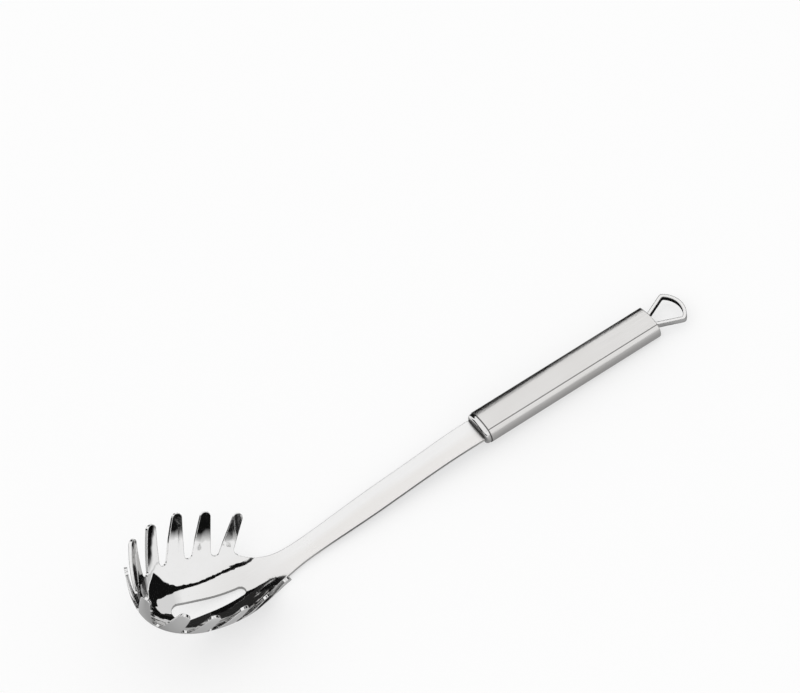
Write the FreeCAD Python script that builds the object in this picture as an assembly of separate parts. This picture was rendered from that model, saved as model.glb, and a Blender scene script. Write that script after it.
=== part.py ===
"""Pasta server: a stamped steel head with prongs, fixed in a hollow handle with a hanging loop.

The pieces are drawn with the handle's axis along X: the front end of the tube is at X = 0, the hanging
loop is at positive X and the bowl at negative X. At the end the whole part is tilted until it lies on a
table, on the bowl's underside and the rear end of the handle, with the origin under its middle.
"""
import FreeCAD, Part
import math
import os

Vec = FreeCAD.Vector

# Handle tube. Lengths are in millimetres and angles in degrees throughout.
handle_length = 105.0
handle_half_breadth = 9.545
crease_half_breadth = 7.36
crease_height = 4.945
crown_rise = 1.38
tube_wall = 1.0

# Front cap, a plug whose rounded nose stands out of the tube
nose_length = 3.0
nose_inset = 0.35
nose_round = 1.955
front_plug_length = 8.0
plug_clearance = 0.05

# Rear cap, a plug that ends flush with the tube
rear_plug_length = 3.2

# Hanging loop, bent from a flat bar
bar_width = 1.9
bar_height = 2.6
loop_reach = 20.2
loop_leg_angle = 25.4
loop_exit_half_gap = 3.0
loop_bow_radius = 14.0
loop_corner_radius = 2.2
loop_eye_corner_radius = 1.0
loop_leg_clearance = 0.1

# Weld beads inside the handle
tang_weld_leg = 1.6
tang_weld_length = 7.0
loop_weld_radius = 3.4
loop_weld_crown_radius = 2.2
loop_weld_height = 1.2

# Shaft and tang, one strip with the bowl
sheet = 1.5
tang_length = 42.0
tang_width = 9.5
tang_clearance = 0.1
shaft_root_half_width = 7.6
shaft_middle_half_width = 7.15
waist_half_width = 6.4
shaft_lead = 4.0
shaft_bend_radius = 250.0
shaft_drop = 5.0
shaft_run = 74.3
shaft_middle_shares = (0.35, 0.7)

# Neck, from the waist of the strip to the bowl's back
neck_run = 31.6
neck_bend_radius = 60.0
neck_mouth_half_width = 15.2
neck_mouth_behind = 33.1
neck_flare_power = 2.66
neck_steps = 12

# Bowl. Its axis stands on the floor's lowest point, square to the plane of the prongs' tips.
bowl_pitch = 23.0
floor_run = 9.8
floor_radius = 30.1
wall_angle = 58.0
tip_angle = 69.5
bowl_back_length = 53.0
back_draw_share = 0.889
wall_start = 54.0
wall_full = 30.0
floor_oval_share = 1.64
tip_oval_share = 0.95
blank_margin = 3.0
waist_margin = 5.0
grid_step = 2.4
slope_step = 0.01
oval_rounds = 60

# Prongs and the gaps between them, for one side of the bowl, from the front to the neck
tip_bearings = (18.0, 52.5, 77.0, 97.5, 113.2, 132.0)
tip_shares = (1.0, 1.0, 1.0, 1.02, 0.995, 0.952)
gap_bearings = (28.5, 58.0, 82.5, 101.0, 116.0)
gap_shares = (1.0, 1.0, 1.0, 1.0, 0.95)
tip_reach = 33.1
tip_round = 2.55
gap_reach = 24.5
gap_round = 2.1
neck_corner_round = 2.5
tip_overlap = 28.0
cut_depth = 7.0
cut_overrun = 12.0

# Drain slot in the bowl's floor
slot_front = 3.4
slot_front_radius = 6.2
slot_back = 27.2
slot_back_radius = 3.0
slot_depth = 14.0

rest_rounds = 6


def section_wire(x, inset):
    """The handle's outline at x: a crowned top and a flat underside meet rounded sides at four creases."""
    side, crease, top = handle_half_breadth, crease_half_breadth, crease_height
    crown = Vec(x, 0, top + crown_rise)
    corners = [Vec(x, crease, top), Vec(x, -crease, top), Vec(x, -crease, -top), Vec(x, crease, -top)]
    wire = Part.Wire([
        Part.Arc(corners[0], crown, corners[1]).toShape(),
        Part.Arc(corners[1], Vec(x, -side, 0), corners[2]).toShape(),
        Part.makeLine(corners[2], corners[3]),
        Part.Arc(corners[3], Vec(x, side, 0), corners[0]).toShape(),
    ])
    if inset == 0:
        return wire
    return wire.makeOffset2D(-inset, 2)


def section_bar(x_from, x_to, inset):
    """A solid bar with the handle's outline, drawn in by the inset."""
    return Part.Face(section_wire(x_from, inset)).extrude(Vec(x_to - x_from, 0, 0))


def make_handle_tube():
    outside = section_bar(0, handle_length, 0)
    return outside.cut(section_bar(0, handle_length, tube_wall))


def make_front_cap():
    nose = section_bar(-nose_length, 0, nose_inset)
    rim = [edge for edge in nose.Edges if edge.BoundBox.XMax < -nose_length / 2]
    nose = nose.makeFillet(nose_round, rim)
    plug = section_bar(0, front_plug_length, tube_wall + plug_clearance)
    half_y = tang_width / 2 + tang_clearance
    half_z = sheet / 2 + tang_clearance
    slot_length = nose_length + front_plug_length
    slot = Part.makeBox(slot_length, 2 * half_y, 2 * half_z, Vec(-nose_length, -half_y, -half_z))
    return nose.fuse(plug).cut(slot).removeSplitter()


def loop_form(bar_inset, height, corner_radius):
    """The loop's outline as a solid plate: two spreading legs and a bowed end, drawn in by bar_inset."""
    slope = math.tan(math.radians(loop_leg_angle))
    shift = (bar_width / 2 - bar_inset) / math.cos(math.radians(loop_leg_angle))
    bow = loop_bow_radius - bar_inset
    centre_x = handle_length + loop_reach - loop_bow_radius
    foot_x = handle_length - rear_plug_length
    foot_y = loop_exit_half_gap + shift - slope * rear_plug_length
    # The leg's line meets the bow's circle at the outer corner.
    start = foot_y + slope * (centre_x - foot_x)
    root = math.sqrt(bow ** 2 * (1 + slope ** 2) - start ** 2)
    corner_run = (root - slope * start) / (1 + slope ** 2)
    corner = Vec(centre_x + corner_run, start + slope * corner_run, 0)
    opposite = Vec(corner.x, -corner.y, 0)
    feet = [Vec(foot_x, foot_y, 0), Vec(foot_x, -foot_y, 0)]
    edges = [
        Part.makeLine(feet[0], corner),
        Part.Arc(corner, Vec(centre_x + bow, 0, 0), opposite).toShape(),
        Part.makeLine(opposite, feet[1]),
        Part.makeLine(feet[1], feet[0]),
    ]
    plate = Part.Face(Part.Wire(edges)).extrude(Vec(0, 0, height))
    plate.translate(Vec(0, 0, -height / 2))
    corners = [edge for edge in plate.Edges if stands_at(edge, (corner, opposite))]
    return plate.makeFillet(corner_radius, corners)


def stands_at(edge, places):
    """Whether an edge is upright and stands over one of the places."""
    ends = [vertex.Point for vertex in edge.Vertexes]
    if len(ends) < 2:
        return False
    for place in places:
        if all(math.hypot(end.x - place.x, end.y - place.y) < bar_width / 2 for end in ends):
            return True
    return False


def make_loop(clearance):
    """The bent bar, thickened all round by a clearance."""
    height = bar_height + 2 * clearance
    plate = loop_form(-clearance, height, loop_corner_radius + clearance)
    eye = loop_form(bar_width + clearance, height, loop_eye_corner_radius)
    return plate.cut(eye)


def make_rear_cap():
    plug = section_bar(handle_length - rear_plug_length, handle_length, tube_wall + plug_clearance)
    return plug.cut(make_loop(loop_leg_clearance))


def make_tang_welds():
    """A bead across each face of the tang, where it comes out of the front plug."""
    beads = []
    for side in (1, -1):
        foot = Vec(front_plug_length, -tang_weld_length / 2, side * sheet / 2)
        along = foot + Vec(tang_weld_leg, 0, 0)
        above = foot + Vec(0, 0, side * tang_weld_leg)
        face = Part.Face(Part.makePolygon([foot, along, above, foot]))
        beads.append(face.extrude(Vec(0, tang_weld_length, 0)))
    return Part.makeCompound(beads)


def make_loop_weld():
    """One flat bead on the inner face of the rear plug, over the ends of both legs."""
    seat = Vec(handle_length - rear_plug_length, 0, 0)
    return Part.makeCone(loop_weld_radius, loop_weld_crown_radius, loop_weld_height, seat, Vec(-1, 0, 0))


def strip_lines():
    """Top and underside of the strip, seen from the side, from the tang's end to the waist."""
    drop = math.radians(shaft_drop)
    start = Vec(tang_length, 0, sheet / 2)
    bend = Vec(-nose_length - shaft_lead, 0, sheet / 2)
    centre = bend - Vec(0, 0, shaft_bend_radius)
    edges = []
    ends = []
    for radius in (shaft_bend_radius, shaft_bend_radius - sheet):
        first = Vec(start.x, 0, centre.z + radius)
        bend_from = Vec(bend.x, 0, centre.z + radius)
        half = centre + Vec(-math.sin(drop / 2), 0, math.cos(drop / 2)) * radius
        bend_to = centre + Vec(-math.sin(drop), 0, math.cos(drop)) * radius
        last = bend_to + Vec(-math.cos(drop), 0, -math.sin(drop)) * shaft_run
        edges.append(Part.makeLine(first, bend_from))
        edges.append(Part.Arc(bend_from, half, bend_to).toShape())
        edges.append(Part.makeLine(bend_to, last))
        ends.append((first, last))
    for near, far in zip(*ends):
        edges.append(Part.makeLine(near, far))
    return edges, ends[0][1]


def strip_outline(waist_x):
    """The strip seen from above: tang, shoulders and a shaft that narrows to the waist."""
    root_x = -nose_length
    length = root_x - waist_x
    half_widths = [shaft_root_half_width, shaft_middle_half_width, shaft_middle_half_width, waist_half_width]
    shares = (0,) + shaft_middle_shares + (1,)
    sides = []
    for side in (1, -1):
        points = [Vec(root_x - share * length, side * half, 0) for share, half in zip(shares, half_widths)]
        curve = Part.BSplineCurve()
        straight = Vec(-1, 0, 0)
        curve.interpolate(Points=points, InitialTangent=straight, FinalTangent=straight)
        end = Vec(waist_x - cut_overrun, side * waist_half_width, 0)
        tang = [Vec(tang_length, side * tang_width / 2, 0), Vec(root_x, side * tang_width / 2, 0)]
        sides.append((tang, points[0], curve.toShape(), points[-1], end))
    edges = []
    for tang, shoulder, curve, waist, end in sides:
        edges += [Part.makeLine(tang[0], tang[1]), Part.makeLine(tang[1], shoulder)]
        edges += [curve, Part.makeLine(waist, end)]
    edges.append(Part.makeLine(sides[0][0][0], sides[1][0][0]))
    edges.append(Part.makeLine(sides[0][4], sides[1][4]))
    return Part.Wire(Part.__sortEdges__(edges))


def make_strip():
    """Tang and shaft up to the waist, and the point at the middle of its end."""
    edges, waist = strip_lines()
    half = shaft_root_half_width + cut_overrun
    profile = Part.Face(Part.Wire(Part.__sortEdges__(edges)))
    profile.translate(Vec(0, -half, 0))
    bar = profile.extrude(Vec(0, 2 * half, 0))
    outline = Part.Face(strip_outline(waist.x))
    drop = abs(waist.z) + cut_overrun
    outline.translate(Vec(0, 0, -drop))
    return bar.common(outline.extrude(Vec(0, 0, 2 * drop))), waist


def floor_line(x):
    """Height of the bowl's and neck's middle line: level floor, bend, straight ramp to the shaft."""
    slope = math.radians(bowl_pitch + shaft_drop)
    behind = -floor_run - x
    if behind <= 0:
        return 0
    bend_length = neck_bend_radius * math.sin(slope)
    if behind < bend_length:
        return neck_bend_radius - math.sqrt(neck_bend_radius ** 2 - behind ** 2)
    return neck_bend_radius * (1 - math.cos(slope)) + (behind - bend_length) * math.tan(slope)


def wall_height(reach):
    """Rise of the bowl's inside at a reach from its axis: a round floor, then prongs that curve less."""
    wall = math.radians(wall_angle)
    tip = math.radians(tip_angle)
    round_reach = floor_radius * math.sin(wall)
    if reach < round_reach:
        return floor_radius - math.sqrt(floor_radius ** 2 - reach ** 2)
    end_reach = tip_reach + tip_round
    prong_radius = (end_reach - round_reach) / (math.sin(tip) - math.sin(wall))
    sine = math.sin(wall) + (min(reach, end_reach) - round_reach) / prong_radius
    rise = prong_radius * (math.cos(wall) - math.sqrt(1 - sine ** 2))
    beyond = max(reach - end_reach, 0) * math.tan(tip)
    return floor_radius * (1 - math.cos(wall)) + rise + beyond


def oval_ratio(reach):
    """Length over breadth of the bowl's front, which is long at the floor and round at the tips."""
    share = min(reach / (tip_reach + tip_round), 1)
    return floor_oval_share + (tip_oval_share - floor_oval_share) * share


def back_ratio(x):
    """How the bowl draws in behind its axis, towards the neck."""
    return 1 - back_draw_share * (x / waist_behind()) ** 2


def reach_at(x, y):
    """Which oval of the bowl passes over a place, as its half breadth."""
    if x <= 0:
        return abs(y) / back_ratio(x)
    reach = math.hypot(x, y)
    for _ in range(oval_rounds):
        reach = (reach + math.hypot(y, x / oval_ratio(reach))) / 2
    return reach


def wall_share(x):
    """How much of the wall has risen: none along the shaft, all of it from the rearmost prongs on."""
    share = (x + wall_start) / (wall_start - wall_full)
    share = min(max(share, 0), 1)
    return share ** 3 * (10 - 15 * share + 6 * share ** 2)


def surface_height(x, y):
    return floor_line(x) + wall_share(x) * wall_height(reach_at(x, y))


def surface_point(x, y):
    return Vec(x, y, surface_height(x, y))


def surface_normal(x, y):
    step = slope_step * sheet
    along = surface_point(x + step, y) - surface_point(x - step, y)
    across = surface_point(x, y + step) - surface_point(x, y - step)
    normal = along.cross(across)
    return normal.normalize()


def bowl_point(reach, bearing):
    """A place on the bowl's inside, by its oval and its bearing from the front."""
    angle = math.radians(bearing)
    if bearing > 90:
        x = bowl_back_length * math.cos(angle)
        return surface_point(x, reach * back_ratio(x))
    return surface_point(reach * oval_ratio(reach) * math.cos(angle), reach * math.sin(angle))


def waist_behind():
    """How far the waist lies behind the bowl's axis."""
    slope = math.radians(bowl_pitch + shaft_drop)
    bend_length = neck_bend_radius * math.sin(slope)
    return floor_run + bend_length + neck_run * math.cos(slope)


def make_blank():
    """The pressed sheet of the bowl and neck before its outline is cut, in the bowl's own frame."""
    back = -waist_behind()
    rim = tip_reach + tip_round + blank_margin
    front = rim
    waist = waist_half_width + waist_margin
    columns = round((front - back) / grid_step)
    rows = round(2 * rim / grid_step)
    inside, outside = [], []
    for i in range(columns + 1):
        x = back + (front - back) * i / columns
        taper = 1 - (min(x, 0) / back) ** 2
        half = waist + (rim - waist) * taper
        places = [half * (2 * j / rows - 1) for j in range(rows + 1)]
        inside.append([surface_point(x, y) for y in places])
        outside.append([surface_point(x, y) - surface_normal(x, y) * sheet for y in places])
    faces = []
    for grid in (inside, outside):
        surface = Part.BSplineSurface()
        surface.interpolate(grid)
        faces.append(surface.toShape())
    for inner, outer in zip(faces[0].Edges, faces[1].Edges):
        faces.append(Part.makeRuledSurface(inner, outer))
    shell = Part.makeShell(faces)
    shell.sewShape()
    return Part.makeSolid(shell)


def side_normal(centre, side, circles):
    """Unit vector square to the line that touches a gap's circle and a tip's circle between them."""
    distance = math.hypot(*centre)
    turn = math.acos(-circles / distance)
    angle = math.atan2(centre[1], centre[0]) - side * turn
    return math.cos(angle), math.sin(angle)


class GapPlane:
    """The plane through a gap's circle and the tips beside it, and the outline drawn on it."""

    def __init__(self, gap, tip_a, tip_b):
        self.gap = gap
        self.across = (tip_b - tip_a).normalize()
        rise = (tip_a + tip_b) / 2 - gap
        rise = rise - self.across * rise.dot(self.across)
        self.up = rise.normalize()
        self.out = self.across.cross(self.up)

    def flat(self, point):
        offset = point - self.gap
        return offset.dot(self.across), offset.dot(self.up)

    def place(self, across, up):
        return self.gap + self.across * across + self.up * up

    def on_circle(self, centre, radius, angle):
        return self.place(centre[0] + radius * math.cos(angle), centre[1] + radius * math.sin(angle))

    def prism(self, edges):
        face = Part.Face(Part.Wire(Part.__sortEdges__(edges)))
        face.translate(self.out * -cut_depth)
        return face.extrude(self.out * (2 * cut_depth))

    def prong_side(self, tip, side, low, low_round, top):
        """The edges from above a tip, round it and down the prong's side to a lower circle."""
        centre = self.flat(tip)
        normal = side_normal((centre[0] - low[0], centre[1] - low[1]), side, low_round + tip_round)
        angle_from = math.atan2(normal[1], normal[0])
        angle_to = math.pi / 2 + side * math.radians(tip_overlap)
        if side < 0 and angle_from < 0:
            angle_from += 2 * math.pi
        touch = self.on_circle(centre, tip_round, angle_from)
        middle = self.on_circle(centre, tip_round, (angle_from + angle_to) / 2)
        past = self.on_circle(centre, tip_round, angle_to)
        above = self.place(self.flat(past)[0], top)
        foot_angle = angle_from + math.pi
        foot = self.on_circle(low, low_round, foot_angle)
        edges = [
            Part.makeLine(above, past),
            Part.Arc(past, middle, touch).toShape(),
            Part.makeLine(touch, foot),
        ]
        return edges, above, foot, foot_angle


def gap_cutter(gap, tip_a, tip_b):
    """The tool for one gap: round at the bottom, straight sides and half of each tip's rounding."""
    plane = GapPlane(gap, tip_a, tip_b)
    low = (0, 0)
    top = plane.flat(tip_a)[1] + tip_round + cut_overrun
    edges_a, above_a, foot_a, _ = plane.prong_side(tip_a, 1, low, gap_round, top)
    edges_b, above_b, foot_b, _ = plane.prong_side(tip_b, -1, low, gap_round, top)
    bottom = Part.Arc(foot_a, plane.place(0, -gap_round), foot_b).toShape()
    return plane.prism(edges_a + edges_b + [bottom, Part.makeLine(above_a, above_b)])


def neck_corner_cutter(tip_ahead, tip):
    """The tool behind the rearmost prong: its back side and the round corner to the neck."""
    mouth = neck_edge(1)
    plane = GapPlane(mouth, tip_ahead, tip)
    run = neck_edge(1 - slope_step) - mouth
    heading = math.atan2(run.dot(plane.up), run.dot(plane.across))
    leave = heading - math.pi / 2
    low = (-neck_corner_round * math.cos(leave), -neck_corner_round * math.sin(leave))
    top = plane.flat(tip)[1] + tip_round + cut_overrun
    edges, above, foot, foot_angle = plane.prong_side(tip, 1, low, neck_corner_round, top)
    middle = plane.on_circle(low, neck_corner_round, (foot_angle - 2 * math.pi + leave) / 2)
    out_low = plane.place(cut_overrun, 0)
    out_top = plane.place(cut_overrun, top)
    edges += [
        Part.Arc(foot, middle, mouth).toShape(),
        Part.makeLine(mouth, out_low),
        Part.makeLine(out_low, out_top),
        Part.makeLine(out_top, above),
    ]
    return plane.prism(edges)


def neck_edge(share):
    """A place on the edge of the neck, by its share of the way from the waist to the bowl's mouth."""
    back = -waist_behind()
    flare = (neck_mouth_half_width - waist_half_width) * share ** neck_flare_power
    return surface_point(back + (-neck_mouth_behind - back) * share, waist_half_width + flare)


def neck_cutter(tip):
    """The tool that trims one side of the neck, a curve that flares from the waist to the bowl."""
    points = []
    for k in range(neck_steps + 1):
        edge = neck_edge(k / neck_steps)
        points.append(Vec(edge.x, edge.y, 0))
    curve = Part.BSplineCurve()
    curve.interpolate(points)
    far = tip_reach + cut_overrun
    back = points[0].x - cut_overrun
    clear = tip.x - 2 * tip_round
    corners = [points[-1], Vec(clear, tip.y, 0), Vec(clear, far, 0), Vec(back, far, 0)]
    corners += [Vec(back, waist_half_width, 0), points[0]]
    edges = [curve.toShape()] + [Part.makeLine(a, b) for a, b in zip(corners, corners[1:])]
    face = Part.Face(Part.Wire(Part.__sortEdges__(edges)))
    height = 2 * waist_behind()
    face.translate(Vec(0, 0, -height / 2))
    return face.extrude(Vec(0, 0, height))


def slot_cutter():
    """The drain slot: wide at the front, narrow towards the neck, round at both ends."""
    length = slot_front + slot_back
    turn = math.acos((slot_front_radius - slot_back_radius) / length)
    edges = []
    ends = []
    for x, radius, pole in ((slot_front, slot_front_radius, 1), (-slot_back, slot_back_radius, -1)):
        sides = []
        for side in (1, -1):
            sides.append(Vec(x + radius * math.cos(turn), side * radius * math.sin(turn), 0))
        edges.append(Part.Arc(sides[0], Vec(x + pole * radius, 0, 0), sides[1]).toShape())
        ends.append(sides)
    for front, back in zip(*ends):
        edges.append(Part.makeLine(front, back))
    face = Part.Face(Part.Wire(Part.__sortEdges__(edges)))
    face.translate(Vec(0, 0, -slot_depth))
    return face.extrude(Vec(0, 0, 2 * slot_depth))


def mirrored(shape):
    return shape.mirror(Vec(0, 0, 0), Vec(0, 1, 0))


def bowl_cutters():
    """All the tools that cut the blank: gaps, neck and drain slot."""
    tips = [bowl_point(tip_reach * share, bearing) for share, bearing in zip(tip_shares, tip_bearings)]
    gaps = [bowl_point(gap_reach * share, bearing) for share, bearing in zip(gap_shares, gap_bearings)]
    one_side = [neck_cutter(tips[-1]), neck_corner_cutter(tips[-2], tips[-1])]
    for gap, ahead, behind in zip(gaps, tips, tips[1:]):
        one_side.append(gap_cutter(gap, ahead, behind))
    front_tip = tips[0]
    other_tip = Vec(front_tip.x, -front_tip.y, front_tip.z)
    front_gap = gap_cutter(bowl_point(gap_reach, 0), other_tip, front_tip)
    return one_side + [mirrored(tool) for tool in one_side] + [front_gap, slot_cutter()]


def waste_above():
    """The part of the blank above the prongs, over a line that follows the floor at the tips' height."""
    slope = math.radians(bowl_pitch + shaft_drop)
    height = wall_height(tip_reach * max(tip_shares)) + tip_round
    far = waist_behind() + cut_overrun
    front = Vec(far, -far, height)
    bend_from = Vec(-floor_run, -far, height)
    centre = bend_from + Vec(0, 0, neck_bend_radius)
    half = centre + Vec(-math.sin(slope / 2), 0, -math.cos(slope / 2)) * neck_bend_radius
    bend_to = centre + Vec(-math.sin(slope), 0, -math.cos(slope)) * neck_bend_radius
    back = bend_to + Vec(-math.cos(slope), 0, math.sin(slope)) * far
    corners = [bend_to, back, Vec(back.x, -far, 2 * far), Vec(far, -far, 2 * far), front, bend_from]
    edges = [Part.makeLine(a, b) for a, b in zip(corners, corners[1:])]
    edges.append(Part.Arc(bend_from, half, bend_to).toShape())
    face = Part.Face(Part.Wire(Part.__sortEdges__(edges)))
    return face.extrude(Vec(0, 2 * far, 0))


def make_bowl():
    """Bowl, prongs and neck, in the bowl's own frame: X forward, Z up from the floor."""
    bowl = make_blank().cut(waste_above())
    for tool in bowl_cutters():
        bowl = bowl.cut(tool)
    return max(bowl.Solids, key=lambda solid: solid.Volume)


def make_server_head():
    strip, waist = make_strip()
    bowl = make_bowl()
    turn = FreeCAD.Rotation(Vec(0, 1, 0), bowl_pitch) * FreeCAD.Rotation(Vec(0, 0, 1), 180)
    joint = turn.multVec(surface_point(-waist_behind(), 0))
    bowl.Placement = FreeCAD.Placement(waist - joint, turn)
    return strip.fuse(bowl).removeSplitter()


def lie_down(head):
    """The placement that lays the part on a table, found by tilting it about the handle's rear end."""
    heel = Vec(handle_length, 0, -crease_height)
    lever = handle_length + nose_length + shaft_run + neck_run + floor_run
    tilt = 0
    for _ in range(rest_rounds):
        turn = FreeCAD.Rotation(Vec(0, 1, 0), tilt)
        trial = head.copy()
        trial.Placement = FreeCAD.Placement(heel - turn.multVec(heel), turn) * head.Placement
        low = trial.optimalBoundingBox(False).ZMin - heel.z
        tilt = tilt - math.degrees(math.atan2(low, lever))
    turn = FreeCAD.Rotation(Vec(0, 1, 0), tilt)
    return FreeCAD.Placement(heel - turn.multVec(heel), turn)


def main():
    os.makedirs("parts", exist_ok=True)
    pieces = {
        "server_head": make_server_head(),
        "handle_tube": make_handle_tube(),
        "front_cap": make_front_cap(),
        "rear_cap": make_rear_cap(),
        "hanging_loop": make_loop(0),
        "tang_welds": make_tang_welds(),
        "loop_weld": make_loop_weld(),
    }
    lying = lie_down(pieces["server_head"])
    for piece in pieces.values():
        piece.Placement = lying * piece.Placement
    bounds = Part.makeCompound(list(pieces.values())).optimalBoundingBox(False)
    shift = Vec(-bounds.Center.x, 0, -bounds.ZMin)
    for name, piece in pieces.items():
        piece.translate(shift)
        piece.exportStep("parts/" + name + ".step")
        print(name, piece.isValid(), len(piece.Solids), round(piece.Volume), piece.BoundBox)
    print("overall", bounds.XLength, bounds.YLength, bounds.ZLength, "tilt", lying.Rotation.Angle)


main()
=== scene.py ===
import math

import bpy
from mathutils import Matrix, Vector

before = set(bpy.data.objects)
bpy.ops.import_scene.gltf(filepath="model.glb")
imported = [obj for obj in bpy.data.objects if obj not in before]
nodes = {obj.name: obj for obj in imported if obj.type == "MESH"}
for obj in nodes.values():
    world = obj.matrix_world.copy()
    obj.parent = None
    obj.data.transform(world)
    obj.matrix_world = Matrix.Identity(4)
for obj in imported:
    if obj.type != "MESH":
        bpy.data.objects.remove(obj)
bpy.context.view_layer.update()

# Camera, in metres in the shared frame
CAMERA_AT = Vector((-0.211954, -0.638600, 0.875164))
CAMERA_VIEW = Vector((0.211716, 0.619700, -0.755757))
CAMERA_UP = Vector((0.521655, 0.582300, 0.623567))
CAMERA_NEAREST = 0.01
IMAGE_WIDTH = 800
FOCAL_PIXELS = 2194.6
SENSOR_WIDTH = 36.0

# Studio: a white dome, a pale floor and dark cards that the polished steel mirrors
DOME_COLOUR = (1.0, 1.0, 1.0, 1.0)
FLOOR_COLOUR = (0.98, 0.98, 0.98, 1.0)
FLOOR_GLOW = 0.6
FLOOR_ROUGHNESS = 0.9
FLOOR_HALF = 6.0
BOWL_MIDDLE = Vector((-0.130, 0.0, 0.045))

# The dome holds back light that steel has mirrored twice or more: the ray depth from which it
# does, where by direction along X and up, and how much at each height
TWICE_MIRRORED = 2.5
HELD_ALONG = (0.025, 0.065)
HELD_UNDER = (0.912, 0.862)
HELD_OVER = (0.93, 0.95)
HELD_HEIGHTS = (0.46, 0.56)
HELD_SHARES = (0.35, 0.97)

# The handle's tilt, where its axis starts, its upright direction, its long creases and the fades
# of the painted shade along them and the front rim
TILT_COS, TILT_SIN = 0.999675, 0.025488
AXIS_X, AXIS_Z = 0.034453, 0.007620
HANDLE_ALONG = (TILT_COS, 0.0, -TILT_SIN)
HANDLE_UP = (TILT_SIN, 0.0, TILT_COS)
HANDLE_FRONT = AXIS_X * TILT_COS - AXIS_Z * TILT_SIN
HANDLE_LEVEL = AXIS_X * TILT_SIN + AXIS_Z * TILT_COS
CREASE_HEIGHT = 0.004945
CREASE_HALF_BREADTH = 0.00736
CREASE_SHADE_FADE = (0.00014, 0.00034)
FRONT_RIM_SHADE_FADE = (0.0002, 0.0005)

# Steel: noise scales along X, Y and Z, edge roundings and the reach of the painted crevice shade
# in metres
HEAD_BRUSH = (14.0, 1500.0, 1500.0)
HEAD_SCUFFS = (90.0, 1100.0, 260.0)
HEAD_SCUFFS_TURN = (0.3, 0.2, 0.8)
HEAD_BROAD = (18.0, 60.0, 60.0)
HEAD_EDGE = 0.0004
HEAD_WORN = (0.003, 0.010)
HEAD_SATIN = (-0.098, -0.060)
HEAD_SATIN_WANDER = 0.012
HANDLE_BRUSH = (18.0, 1900.0, 1900.0)
HANDLE_BROAD = (6.0, 260.0, 260.0)
HANDLE_EDGE = 0.0008
CAP_EDGE = 0.0005
LOOP_EDGE = 0.0008
BUFFING = (900.0, 120.0, 900.0)
WELD_RIPPLE = (1600.0, 500.0, 1600.0)
CREVICE_SHADE_REACH = 0.0016
CREVICE_SHADE_RANGE = (0.40, 0.90)
EDGE_RANGE = (0.995, 0.80)

# Cards: degrees between their columns, lowest point, levels of grey and distances from the bowl
CARD_STEP = 1.0
CARD_FOOT = 0.0005
DARK = 0.006
GREY_LEVEL = 0.78
LEFT_LOW_LEVEL = 0.5
FAR_DISTANCE = 0.8
GREY_DISTANCE = 0.9
NEAR_DISTANCE = 0.22

# Each upright card: bearing round the bowl, then in degrees its lower edge, where it starts
# to fade and where it ends
FAR_CARD = [(-6, -8, 35, 35.3), (5, -8, 35, 35.3), (10, -8, 35.5, 35.8), (13, -8, 37.5, 37.8),
            (16.8, -8, 39, 39.3), (20, -8, 35, 35.3), (24, -8, 31, 31.3), (30, -8, 24.5, 24.8),
            (38, -8, 13, 13.3), (60, -8, 6, 6.3)]
HANDLE_CARD = [(74, -8, 10.5, 10.8), (81, -8, 10.8, 11.1), (85.5, -8, 11.6, 11.9),
               (87, -8, 14.8, 15.1), (88.5, -8, 20.3, 20.6), (90.5, -8, 23, 23.3),
               (92.3, -8, 26.5, 26.8), (95, -8, 35, 35.3), (99, -8, 41, 41.3), (106, -8, 42, 42.3),
               (109.5, -8, 37.5, 37.8), (112, -8, 33, 33.3), (114.3, -8, 28, 28.3),
               (116.2, -8, 22.5, 22.8), (117.5, -8, 18, 18.3), (119, -8, 13, 13.3),
               (122, -8, 6, 6.3)]
GREY_CARD = [(56, -8, 10, 14), (64, -8, 24, 30), (72, -8, 30, 38), (80, -8, 34, 41),
             (102, -8, 35, 42)]
NEAR_CARD = [(152, -12, -9, -5.2), (156, -12, -7.2, -3.8), (159, -12, -6, -1.5),
             (163, -12, -4.5, 1), (170, -12, 2.3, 5), (175, -12, 2.8, 6.2), (181, -12, 3.2, 8),
             (186, -12, 3.5, 9), (191, -12, 4.5, 11.5), (198, -12, 6, 14), (228, -12, 6, 16)]
LEFT_LOW_CARD = [(-132, -8, 18, 18.3), (-72, -8, 18, 18.3)]
LEFT_HIGH_CARD = [(-132, 18, 28, 31), (-72, 18, 28, 31)]
LEFT_FAR_CARD = [(-72, -8, 28, 31), (-30, -8, 28, 31)]

# Level cards over the bowl: a seam between two light panels, and the camera's own dark shape
SEAM_HEIGHT = 0.80
SEAM_CARD = [(-0.08, -0.455), (0.73, -0.235), (0.73, -0.125), (-0.08, -0.345)]
LENS_CARD = [(-0.11, -0.50), (-0.03, -0.50), (-0.03, -0.36), (-0.11, -0.36)]

# Dark patches just over the table: on the near side, which the first far prong mirrors, and
# beyond the bowl, which the side face of the third far prong mirrors
PATCH_HEIGHT = 0.0008
PATCH_CARD = [(-0.094, -0.216), (-0.042, -0.216), (-0.046, -0.110), (-0.086, -0.110)]
BEYOND_CARD = [(-0.32, 0.155), (-0.235, 0.155), (-0.235, 0.245), (-0.32, 0.245)]

# A dark strip behind the handle, which its far edge mirrors
BEHIND_CARD = [(0.04, 0.12, 0.001), (0.36, 0.12, 0.001), (0.36, 0.12, 0.082), (0.04, 0.12, 0.050)]

# The painted shade of the table under the part, as mirrored by the steel: levels at each distance
# from the long axis
BOWL_SHADE_TONES = [(0.0, 0.30), (0.020, 0.44), (0.034, 0.52), (0.046, 0.97)]
SHAFT_SHADE_TONES = [(0.0, 0.10), (0.012, 0.16), (0.025, 0.50), (0.060, 0.95)]
HANDLE_SHADE_TONES = [(0.0, 0.24), (0.008, 0.32), (0.020, 0.48), (0.050, 0.58), (0.120, 0.68),
                (0.200, 0.80), (0.300, 0.95)]
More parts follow.
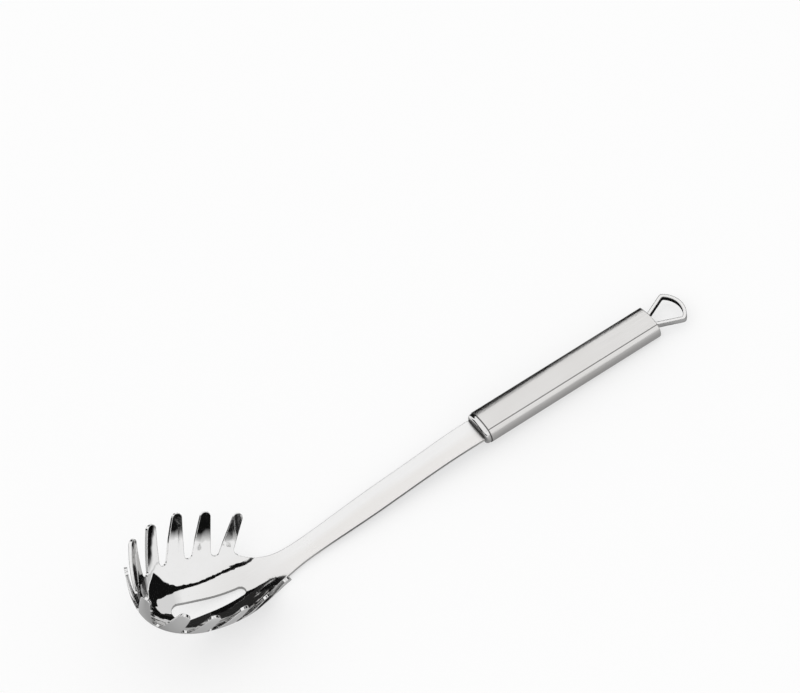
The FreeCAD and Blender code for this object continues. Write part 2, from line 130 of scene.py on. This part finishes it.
# Where along the part each set of tones holds, blended between
SHADE_TONE_PLACES = [(-0.070, BOWL_SHADE_TONES), (-0.055, SHAFT_SHADE_TONES), (0.020, SHAFT_SHADE_TONES),
               (0.034, HANDLE_SHADE_TONES)]
TABLE_X = (-0.30, 0.26)
TABLE_Y = (-0.30, 0.20)
TABLE_CELL = 0.004
TABLE_BORDER = 0.08
TABLE_LIFT = 0.0004
# Painted shade spots on it: middle, then the reach of full dark and of the fade
DARK_SPOTS = [(-0.076, -0.034, 0.010, 0.018), (-0.076, -0.046, 0.010, 0.018),
              (-0.076, -0.058, 0.010, 0.018), (-0.058, 0.038, 0.012, 0.018),
              (-0.104, -0.017, 0.006, 0.009), (-0.107, 0.053, 0.010, 0.014),
              (-0.139, 0.087, 0.016, 0.022), (0.151, 0.009, 0.013, 0.020)]
SPOT_SHARE = 0.02


class Tree:
    """Adds nodes to a node tree and links them in short calls."""

    def __init__(self, tree):
        self.tree = tree
        tree.nodes.clear()

    def put(self, socket, value):
        """Links a socket to another node's output, or sets its value."""
        if isinstance(value, bpy.types.NodeSocket):
            self.tree.links.new(value, socket)
        else:
            socket.default_value = value

    def add(self, kind, inputs=None, **settings):
        made = self.tree.nodes.new(kind)
        for key, value in settings.items():
            setattr(made, key, value)
        for key, value in (inputs or {}).items():
            self.put(made.inputs[key], value)
        return made

    def math(self, operation, first, second=0.0):
        return self.add("ShaderNodeMath", {0: first, 1: second}, operation=operation).outputs[0]

    def dot(self, first, second):
        made = self.add("ShaderNodeVectorMath", {0: first, 1: second}, operation="DOT_PRODUCT")
        return made.outputs["Value"]

    def span(self, value, low, high, to_low=0.0, to_high=1.0):
        made = self.add("ShaderNodeMapRange", {"Value": value, "From Min": low, "From Max": high,
                                               "To Min": to_low, "To Max": to_high})
        return made.outputs["Result"]

    def noise(self, place, scale, detail=3.0, roughness=0.5):
        made = self.add("ShaderNodeTexNoise", {"Vector": place, "Scale": scale, "Detail": detail,
                                               "Roughness": roughness})
        return made.outputs["Fac"]

    def stretched(self, place, scale, turn=(0.0, 0.0, 0.0)):
        made = self.add("ShaderNodeMapping", {"Vector": place, "Scale": scale, "Rotation": turn})
        return made.outputs["Vector"]

    def blend(self, share, first, second):
        """Mix of two colours."""
        made = self.add("ShaderNodeMix", data_type="RGBA")
        for k, value in ((0, share), (6, first), (7, second)):
            self.put(made.inputs[k], value)
        return made.outputs[2]

    def weigh(self, share, first, second):
        """Mix of two numbers."""
        made = self.add("ShaderNodeMix", data_type="FLOAT")
        for k, value in ((0, share), (2, first), (3, second)):
            self.put(made.inputs[k], value)
        return made.outputs[0]

    def bump(self, height, strength, distance, normal=None):
        inputs = {"Height": height, "Strength": strength, "Distance": distance}
        if normal is not None:
            inputs["Normal"] = normal
        return self.add("ShaderNodeBump", inputs).outputs["Normal"]


def new_material(name):
    made = bpy.data.materials.new(name)
    made.use_nodes = True
    return made, Tree(made.node_tree)


def grey(level, warm=0.0):
    return (level, level * (1 - 0.5 * warm), level * (1 - warm), 1.0)


def edge_share(tree, radius):
    """Rounded normal at sharp edges, and a share that is 1 along them and 0 on open faces."""
    rounded = tree.add("ShaderNodeBevel", {"Radius": radius}, samples=6).outputs["Normal"]
    true_normal = tree.add("ShaderNodeNewGeometry").outputs["True Normal"]
    return rounded, tree.span(tree.dot(rounded, true_normal), *EDGE_RANGE)


def surface(tree, colour, roughness, normal):
    """Metal with painted shade darkening its crevices."""
    crevice_shade = tree.add("ShaderNodeAmbientOcclusion", {"Distance": CREVICE_SHADE_REACH}, samples=8)
    open_share = tree.span(crevice_shade.outputs["AO"], *CREVICE_SHADE_RANGE)
    # Painted shade: where ambient occlusion finds close surfaces, the colour turns near-black
    colour = tree.blend(open_share, grey(0.04, 0.10), colour)
    shader = tree.add("ShaderNodeBsdfPrincipled", {"Base Color": colour, "Metallic": 1.0,
                                                   "Roughness": roughness, "Normal": normal})
    tree.add("ShaderNodeOutputMaterial", {"Surface": shader.outputs["BSDF"]})


def head_steel():
    """Mirror-polished bowl that turns to a fine satin along the neck and shaft."""
    made, t = new_material("head_polished_steel")
    place = t.add("ShaderNodeTexCoord").outputs["Object"]
    parts = t.add("ShaderNodeSeparateXYZ", {"Vector": place})
    along = parts.outputs["X"]
    worn = t.span(parts.outputs["Z"], *HEAD_WORN, 0.9, 0.0)
    wander = t.math("MULTIPLY", t.noise(place, 60.0), HEAD_SATIN_WANDER)
    satin = t.span(t.math("ADD", along, wander), *HEAD_SATIN)
    brushed = t.noise(t.stretched(place, HEAD_BRUSH), 1.0, 4.0, 0.6)
    scuffs = t.noise(t.stretched(place, HEAD_SCUFFS, HEAD_SCUFFS_TURN), 1.0, 5.0, 0.65)
    haze = t.noise(place, 220.0, 6.0, 0.6)
    rounded, edge = edge_share(t, HEAD_EDGE)

    scuffed = t.span(scuffs, 0.55, 0.75, 0.02, 0.05)
    mirror = t.math("ADD", t.math("MULTIPLY", haze, 0.025), scuffed)
    fine = t.math("ADD", t.math("MULTIPLY", brushed, 0.14), 0.24)
    roughness = t.math("ADD", t.weigh(satin, mirror, fine), t.math("MULTIPLY", edge, 0.10))

    bright = t.blend(haze, grey(0.80, 0.012), grey(0.84, 0.004))
    bright = t.blend(worn, bright, t.blend(scuffs, grey(0.73, 0.03), grey(0.80, 0.015)))
    # Painted shade: the satin neck and shaft turn warmer and darker on their near half (-Y), with
    # a wandering border
    broad = t.noise(t.stretched(place, HEAD_BROAD), 1.0, 2.0)
    across = t.math("ADD", parts.outputs["Y"], t.span(broad, 0.3, 0.7, -0.0015, 0.0015))
    satin_and_shade = t.blend(brushed, grey(0.86, 0.010), grey(0.94, 0.004))
    satin_and_shade = t.blend(t.span(across, -0.0020, 0.0020, 0.8, 0.0), satin_and_shade, grey(0.84, 0.045))
    colour = t.blend(satin, bright, satin_and_shade)
    # Painted highlight: sharp edges lightened towards near-white, more strongly on the satin part
    colour = t.blend(t.math("MULTIPLY", edge, t.weigh(satin, 0.5, 0.95)), colour, grey(0.98))

    wave = t.bump(t.noise(place, 45.0, 1.0), 0.002, 0.0010, rounded)
    lines = t.bump(brushed, t.weigh(satin, 0.001, 0.10), 0.0003, wave)
    normal = t.bump(scuffs, 0.001, 0.0003, lines)
    surface(t, colour, roughness, normal)
    return made


def handle_steel():
    """Brushed tube: long fine lines, a little warm, with painted shade along its creases and its
    front rim.
    """
    made, t = new_material("handle_brushed_steel")
    place = t.add("ShaderNodeTexCoord").outputs["Object"]
    brushed = t.noise(t.stretched(place, HANDLE_BRUSH), 1.0, 5.0, 0.65)
    broad = t.noise(t.stretched(place, HANDLE_BROAD), 1.0, 2.0)
    handled = t.noise(place, 35.0, 4.0)
    rounded, edge = edge_share(t, HANDLE_EDGE)

    parts = t.add("ShaderNodeSeparateXYZ", {"Vector": place})
    # Mask of the painted shade: thin lines along the long creases, then the front rim by the cap
    lift = t.math("ABSOLUTE", t.math("SUBTRACT", t.dot(place, HANDLE_UP), HANDLE_LEVEL))
    over = t.math("SUBTRACT", lift, CREASE_HEIGHT)
    beside = t.math("SUBTRACT", t.math("ABSOLUTE", parts.outputs["Y"]), CREASE_HALF_BREADTH)
    squares = t.math("ADD", t.math("MULTIPLY", over, over), t.math("MULTIPLY", beside, beside))
    crease_and_rim_shade = t.span(t.math("SQRT", squares), *CREASE_SHADE_FADE, 1.0, 0.0)
    reach = t.math("SUBTRACT", t.dot(place, HANDLE_ALONG), HANDLE_FRONT)
    crease_and_rim_shade = t.math("MAXIMUM", crease_and_rim_shade, t.span(reach, *FRONT_RIM_SHADE_FADE, 1.0, 0.0))

    worn = t.span(handled, 0.3, 0.7, 0.09, 0.14)
    roughness = t.math("ADD", t.math("MULTIPLY", brushed, 0.08), worn)
    colour = t.blend(brushed, grey(0.64, 0.035), grey(0.82, 0.025))
    colour = t.blend(t.math("MULTIPLY", broad, 0.35), colour, grey(0.78, 0.02))
    colour = t.blend(t.span(handled, 0.40, 0.66, 0.0, 0.3), colour, grey(0.67, 0.045))
    # Painted highlight: sharp edges a little lighter
    colour = t.blend(t.math("MULTIPLY", edge, 0.3), colour, grey(0.86, 0.01))
    # Painted shade: near-black lines along the long creases and at the front rim
    colour = t.blend(t.math("MULTIPLY", crease_and_rim_shade, 0.85), colour, grey(0.10, 0.06))

    lines = t.bump(brushed, 0.14, 0.0004, rounded)
    normal = t.bump(broad, 0.05, 0.0006, lines)
    surface(t, colour, roughness, normal)
    return made


def polished_steel(name, level, low, high, turn, edge_radius, edge_reflection_level):
    """Buffed steel for the end caps and the loop: faint polishing lines, small dings and a painted
    dark reflection along the sharp edges.
    """
    made, t = new_material(name)
    place = t.add("ShaderNodeTexCoord").outputs["Object"]
    buffed = t.noise(t.stretched(place, BUFFING, turn), 1.0, 4.0, 0.6)
    haze = t.noise(place, 300.0, 5.0)
    dings = t.noise(place, 900.0, 2.0)
    rounded, edge = edge_share(t, edge_radius)

    lined = t.span(buffed, 0.25, 0.75, low, high)
    roughness = t.math("ADD", lined, t.math("MULTIPLY", edge, 0.08))
    colour = t.blend(haze, grey(level, 0.02), grey(level + 0.06, 0.01))
    # Painted reflection: sharp edges darkened nearly to black, standing in for the dark that
    # rounded edges mirror
    colour = t.blend(t.math("MULTIPLY", edge, 0.9), colour, grey(edge_reflection_level, 0.03))

    lines = t.bump(buffed, 0.05, 0.0003, rounded)
    normal = t.bump(t.span(dings, 0.68, 0.80), 0.05, 0.0002, lines)
    surface(t, colour, roughness, normal)
    return made


def weld_steel():
    """Bare weld metal: rippled, heat-tinted and dull."""
    made, t = new_material("weld_raw_steel")
    place = t.add("ShaderNodeTexCoord").outputs["Object"]
    ripple = t.noise(t.stretched(place, WELD_RIPPLE), 1.0, 3.0)
    tint = t.span(t.noise(place, 420.0, 3.0), 0.35, 0.65)
    grain = t.noise(place, 2600.0, 4.0)

    colour = t.blend(tint, (0.42, 0.36, 0.29, 1.0), (0.27, 0.30, 0.38, 1.0))
    roughness = t.span(grain, 0.2, 0.8, 0.40, 0.65)
    normal = t.bump(grain, 0.2, 0.0002, t.bump(ripple, 0.6, 0.0006))
    surface(t, colour, roughness, normal)
    return made


def paint(node_name, material):
    slots = nodes[node_name].data.materials
    for k in range(len(slots)):
        slots[k] = material


def card_point(bearing, rise, distance):
    """A point round the bowl, on an upright wall at that distance and rise from its middle."""
    turn = math.radians(bearing)
    height = BOWL_MIDDLE.z + distance * math.tan(math.radians(rise))
    return (BOWL_MIDDLE.x + distance * math.sin(turn), BOWL_MIDDLE.y + distance * math.cos(turn),
            max(height, CARD_FOOT))


def edges_at(edges, bearing):
    """The three edges of an upright card at one bearing."""
    for first, second in zip(edges, edges[1:]):
        if first[0] <= bearing <= second[0]:
            share = (bearing - first[0]) / (second[0] - first[0])
            return [p + share * (q - p) for p, q in zip(first[1:], second[1:])]
    return edges[-1][1:]


def add_card(name, points, faces, levels, fades):
    """Puts up a card that only reflections see, with its own level and fade at each point."""
    mesh = bpy.data.meshes.new(name)
    mesh.from_pydata(points, [], faces)
    for label, values in (("level", levels), ("fade", fades)):
        mesh.attributes.new(label, "FLOAT", "POINT").data.foreach_set("value", values)
    made, t = new_material(name)
    level = t.add("ShaderNodeAttribute", attribute_name="level").outputs["Fac"]
    fade = t.add("ShaderNodeAttribute", attribute_name="fade").outputs["Fac"]
    clear = t.add("ShaderNodeBsdfTransparent").outputs["BSDF"]
    glow = t.add("ShaderNodeEmission", {"Color": level, "Strength": 1.0}).outputs["Emission"]
    mixed = t.add("ShaderNodeMixShader", {"Fac": fade, 1: clear, 2: glow}).outputs["Shader"]
    t.add("ShaderNodeOutputMaterial", {"Surface": mixed})
    mesh.materials.append(made)
    card = bpy.data.objects.new(name, mesh)
    bpy.context.scene.collection.objects.link(card)
    card.visible_camera = False
    card.visible_diffuse = False
    card.visible_shadow = False


def grid_faces(columns, rows):
    faces = []
    for c in range(columns):
        for r in range(rows):
            k = c * (rows + 1) + r
            faces.append((k, k + rows + 1, k + rows + 2, k + 1))
    return faces


def make_upright_card(name, edges, distance, level):
    """A card bent round the bowl, dark up to one edge and fading out at the next."""
    first, last = edges[0][0], edges[-1][0]
    columns = max(2, int((last - first) / CARD_STEP))
    points, fades = [], []
    for c in range(columns + 1):
        bearing = first + (last - first) * c / columns
        for rise, fade in zip(edges_at(edges, bearing), (1.0, 1.0, 0.0)):
            points.append(card_point(bearing, rise, distance))
            fades.append(fade)
    add_card(name, points, grid_faces(columns, 2), [level] * len(points), fades)


def make_flat_card(name, corners):
    count = len(corners)
    add_card(name, corners, [tuple(range(count))], [DARK] * count, [1.0] * count)


def raised(corners, height):
    return [(x, y, height) for x, y in corners]


def tone_at(tones, away):
    if away <= tones[0][0]:
        return tones[0][1]
    for (near, near_level), (far, far_level) in zip(tones, tones[1:]):
        if near <= away <= far:
            return near_level + (far_level - near_level) * (away - near) / (far - near)
    return tones[-1][1]


def table_shade(x, y):
    # Painted shade: darker near the long axis and in spots, lighter further out
    level = tone_at([(place, tone_at(tones, abs(y))) for place, tones in SHADE_TONE_PLACES], x)
    for spot_x, spot_y, full, reach in DARK_SPOTS:
        away = math.hypot(x - spot_x, y - spot_y)
        level *= min(1.0, max(SPOT_SHARE, (away - full) / (reach - full)))
    return level


def make_table_shade_card():
    """Painted shade of the table under the part, a glowing sheet which the steel's lower faces
    mirror.
    """
    columns = round((TABLE_X[1] - TABLE_X[0]) / TABLE_CELL)
    rows = round((TABLE_Y[1] - TABLE_Y[0]) / TABLE_CELL)
    points, levels, fades = [], [], []
    for c in range(columns + 1):
        x = TABLE_X[0] + c * TABLE_CELL
        for r in range(rows + 1):
            y = TABLE_Y[0] + r * TABLE_CELL
            inside = min(x - TABLE_X[0], TABLE_X[1] - x, y - TABLE_Y[0], TABLE_Y[1] - y)
            points.append((x, y, TABLE_LIFT))
            levels.append(table_shade(x, y))
            fades.append(min(1.0, max(0.0, inside / TABLE_BORDER)))
    add_card("card_table_shade", points, grid_faces(columns, rows), levels, fades)


def make_floor():
    """A pale floor with some glow of its own, so that shadows on it stay soft."""
    corners = [(-FLOOR_HALF, -FLOOR_HALF, 0), (FLOOR_HALF, -FLOOR_HALF, 0),
               (FLOOR_HALF, FLOOR_HALF, 0), (-FLOOR_HALF, FLOOR_HALF, 0)]
    mesh = bpy.data.meshes.new("floor")
    mesh.from_pydata(corners, [], [(0, 1, 2, 3)])
    made, t = new_material("floor_paper")
    shader = t.add("ShaderNodeBsdfPrincipled", {"Base Color": FLOOR_COLOUR,
                                                "Roughness": FLOOR_ROUGHNESS,
                                                "Specular IOR Level": 0.0})
    glow = t.add("ShaderNodeEmission", {"Color": FLOOR_COLOUR, "Strength": 1.0})
    mixed = t.add("ShaderNodeMixShader", {"Fac": FLOOR_GLOW, 1: shader.outputs["BSDF"],
                                          2: glow.outputs["Emission"]})
    t.add("ShaderNodeOutputMaterial", {"Surface": mixed.outputs["Shader"]})
    mesh.materials.append(made)
    floor = bpy.data.objects.new("floor", mesh)
    bpy.context.scene.collection.objects.link(floor)


def make_world():
    """A white dome that is darker, in some directions, for light mirrored more than once."""
    world = bpy.data.worlds.new("studio")
    world.use_nodes = True
    t = Tree(world.node_tree)
    path = t.add("ShaderNodeLightPath")
    again = t.math("GREATER_THAN", path.outputs["Ray Depth"], TWICE_MIRRORED)
    toward = t.add("ShaderNodeTexCoord").outputs["Generated"]
    parts = t.add("ShaderNodeSeparateXYZ", {"Vector": toward})
    along, height = parts.outputs["X"], parts.outputs["Z"]
    side = t.math("MAXIMUM", t.span(along, *HELD_ALONG), t.span(height, *HELD_UNDER))
    side = t.math("MAXIMUM", side, t.span(height, *HELD_OVER))
    held = t.math("MULTIPLY", side, t.span(height, *HELD_HEIGHTS, *HELD_SHARES))
    mirrored = t.math("MULTIPLY", again, path.outputs["Is Glossy Ray"])
    strength = t.math("SUBTRACT", 1.0, t.math("MULTIPLY", mirrored, held))
    back = t.add("ShaderNodeBackground", {"Color": DOME_COLOUR, "Strength": strength})
    t.add("ShaderNodeOutputWorld", {"Surface": back.outputs["Background"]})
    bpy.context.scene.world = world


def make_camera():
    lens = bpy.data.cameras.new("camera")
    lens.sensor_fit = "HORIZONTAL"
    lens.sensor_width = SENSOR_WIDTH
    lens.lens = FOCAL_PIXELS / IMAGE_WIDTH * SENSOR_WIDTH
    lens.clip_start = CAMERA_NEAREST
    camera = bpy.data.objects.new("camera", lens)
    bpy.context.scene.collection.objects.link(camera)
    back = -CAMERA_VIEW.normalized()
    right = CAMERA_UP.cross(back).normalized()
    up = back.cross(right)
    turn = Matrix((right, up, back)).transposed().to_4x4()
    camera.matrix_world = Matrix.Translation(CAMERA_AT) @ turn
    bpy.context.scene.camera = camera


bpy.context.scene.view_settings.view_transform = "Standard"
make_world()
make_floor()
make_camera()
make_upright_card("card_far", FAR_CARD, FAR_DISTANCE, DARK)
make_upright_card("card_handle_side", HANDLE_CARD, FAR_DISTANCE, DARK)
make_upright_card("card_grey", GREY_CARD, GREY_DISTANCE, GREY_LEVEL)
make_upright_card("card_near", NEAR_CARD, NEAR_DISTANCE, DARK)
make_upright_card("card_left_low", LEFT_LOW_CARD, FAR_DISTANCE, LEFT_LOW_LEVEL)
make_upright_card("card_left_high", LEFT_HIGH_CARD, FAR_DISTANCE, DARK)
make_upright_card("card_left_far", LEFT_FAR_CARD, FAR_DISTANCE, DARK)
make_flat_card("card_seam", raised(SEAM_CARD, SEAM_HEIGHT))
make_flat_card("card_lens", raised(LENS_CARD, SEAM_HEIGHT))
make_flat_card("card_patch", raised(PATCH_CARD, PATCH_HEIGHT))
make_flat_card("card_beyond", raised(BEYOND_CARD, PATCH_HEIGHT))
make_flat_card("card_behind", BEHIND_CARD)
make_table_shade_card()

# The last value is the near-black of the painted edge reflection
cap = polished_steel("cap_polished_steel", 0.76, 0.05, 0.10, (0.0, 0.0, 0.0), CAP_EDGE, 0.12)
loop = polished_steel("loop_polished_steel", 0.80, 0.05, 0.11, (0.0, 0.0, 0.5), LOOP_EDGE, 0.10)
weld = weld_steel()
paint("server_head", head_steel())
paint("handle_tube", handle_steel())
paint("front_cap", cap)
paint("rear_cap", cap)
paint("hanging_loop", loop)
paint("tang_welds", weld)
paint("loop_weld", weld)
